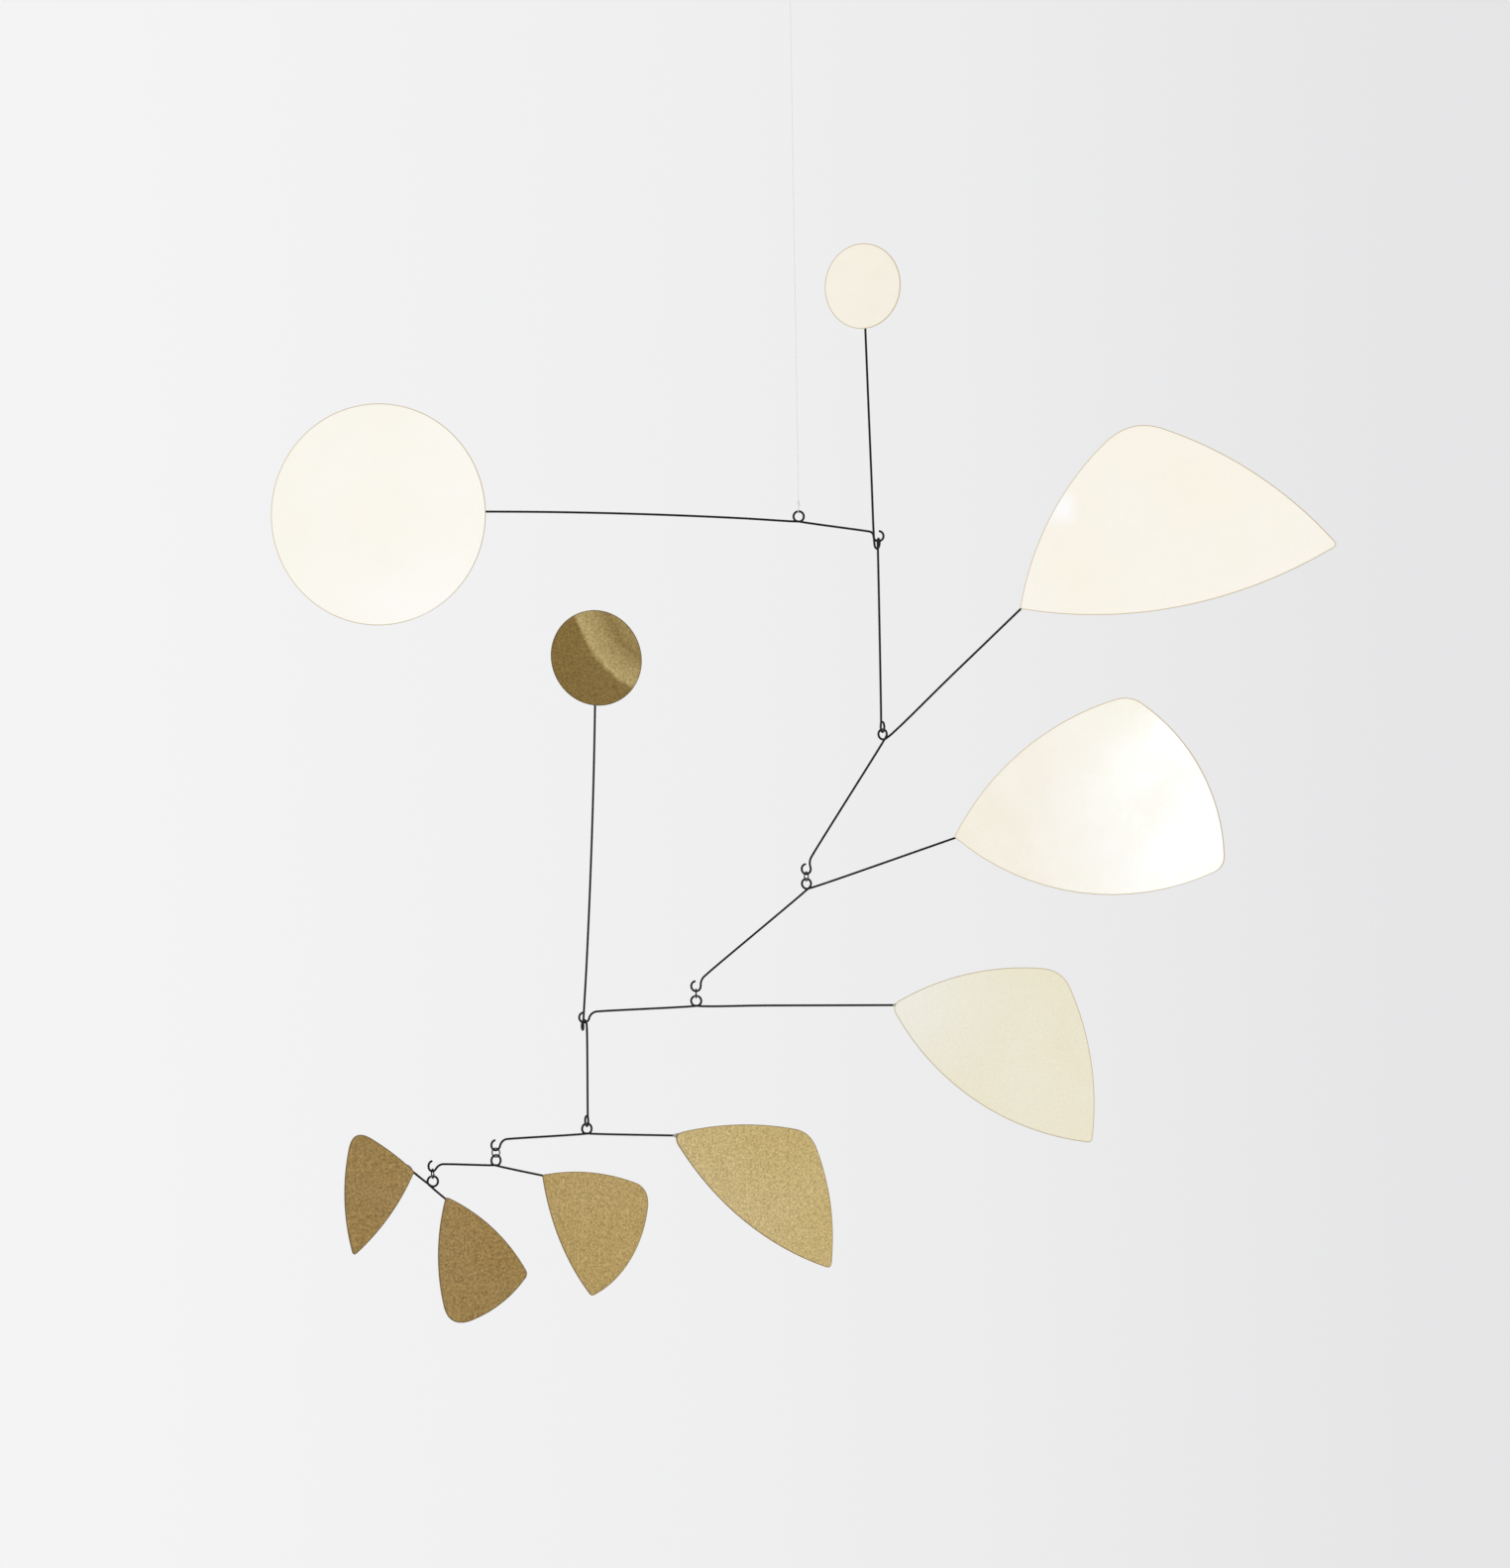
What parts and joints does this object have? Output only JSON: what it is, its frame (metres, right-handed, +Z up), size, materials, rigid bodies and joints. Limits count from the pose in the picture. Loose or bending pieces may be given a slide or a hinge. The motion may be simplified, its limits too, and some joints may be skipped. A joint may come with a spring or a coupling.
{
  "type": "hanging mobile",
  "caption": "Hanging mobile of bent steel wire arms with brass discs and leaf-shaped plates, each arm swivelling in the hook of the one above, on a clear line.",
  "frame": {"origin": "inside top of the line's top loop, where it bears on a ceiling hook; the line hangs straight down from it", "axes": "+Z up along the line, +X to the viewer's right and -Y towards the viewer in the pose shown, with the large disc at -X"},
  "size_m": [0.7048, 0.3001, 0.9163],
  "materials": {
    "dark_wire": "dark oxidised, drawn wire",
    "pale_brass": "polished sheet, fine satin grain",
    "golden_brass": "polished sheet, fine satin grain",
    "dark_brass": "satin sheet, slightly darkened",
    "clear_line": "clear nylon line"
  },
  "bodies": {
    "top_loop": {"thread_top_loop": "clear_line"},
    "main_arm": {"hanging_thread": "clear_line", "thread_noose": "clear_line", "main_arm_wire": "dark_wire", "large_disc": "pale_brass"},
    "top_upright": {"top_upright_wire": "dark_wire", "top_disc": "pale_brass"},
    "first_leaf_arm": {"first_leaf_wire": "dark_wire", "first_leaf": "pale_brass", "first_link_ring": "dark_wire"},
    "second_leaf_arm": {"second_leaf_wire": "dark_wire", "second_leaf": "pale_brass", "second_link_ring": "dark_wire"},
    "third_leaf_arm": {"third_leaf_wire": "dark_wire", "third_leaf": "pale_brass"},
    "long_upright": {"long_upright_wire": "dark_wire", "dark_disc": "dark_brass"},
    "fourth_leaf_arm": {"fourth_leaf_wire": "dark_wire", "fourth_leaf": "golden_brass", "third_link_ring": "dark_wire"},
    "fifth_leaf_arm": {"fifth_leaf_wire": "dark_wire", "fifth_leaf": "golden_brass", "fourth_link_ring": "dark_wire"},
    "lowest_arm": {"lowest_arm_wire": "dark_wire", "lowest_left_leaf": "dark_brass", "lowest_right_leaf": "dark_brass"}
  },
  "joints": [
    {"name": "line_twist", "type": "hinge", "parent": "top_loop", "child": "main_arm", "pos_m": [0, 0, -0.0254], "axis": [0, 0, 1], "continuous": true},
    {"name": "top_upright_swivel", "type": "hinge", "parent": "main_arm", "child": "top_upright", "pos_m": [0.0532, -0.01156, -0.3979], "axis": [0, 0, 1], "range_deg": [-20, 45]},
    {"name": "first_leaf_swivel", "type": "hinge", "parent": "top_upright", "child": "first_leaf_arm", "pos_m": [0.05378, -0.01179, -0.5259], "axis": [0, 0, 1], "range_deg": [-34, 44]},
    {"name": "second_leaf_swivel", "type": "hinge", "parent": "first_leaf_arm", "child": "second_leaf_arm", "pos_m": [0.00137, 0.01389, -0.6258], "axis": [0, 0, 1], "range_deg": [-53, 37]},
    {"name": "third_leaf_swivel", "type": "hinge", "parent": "second_leaf_arm", "child": "third_leaf_arm", "pos_m": [-0.07467, 0.0375, -0.7046], "axis": [0, 0, 1], "range_deg": [-49, 41]},
    {"name": "long_upright_swivel", "type": "hinge", "parent": "third_leaf_arm", "child": "long_upright", "pos_m": [-0.15071, 0.02826, -0.7193], "axis": [0, 0, 1], "range_deg": [-48, 25]},
    {"name": "fourth_leaf_swivel", "type": "hinge", "parent": "long_upright", "child": "fourth_leaf_arm", "pos_m": [-0.15014, 0.02854, -0.7896], "axis": [0, 0, 1], "range_deg": [-52, 25]},
    {"name": "fifth_leaf_swivel", "type": "hinge", "parent": "fourth_leaf_arm", "child": "fifth_leaf_arm", "pos_m": [-0.20998, -0.01335, -0.8071], "axis": [0, 0, 1], "range_deg": [-29, 61]},
    {"name": "lowest_arm_swivel", "type": "hinge", "parent": "fifth_leaf_arm", "child": "lowest_arm", "pos_m": [-0.25016, -0.05129, -0.8177], "axis": [0, 0, 1], "range_deg": [-45, 45]}
  ]
}
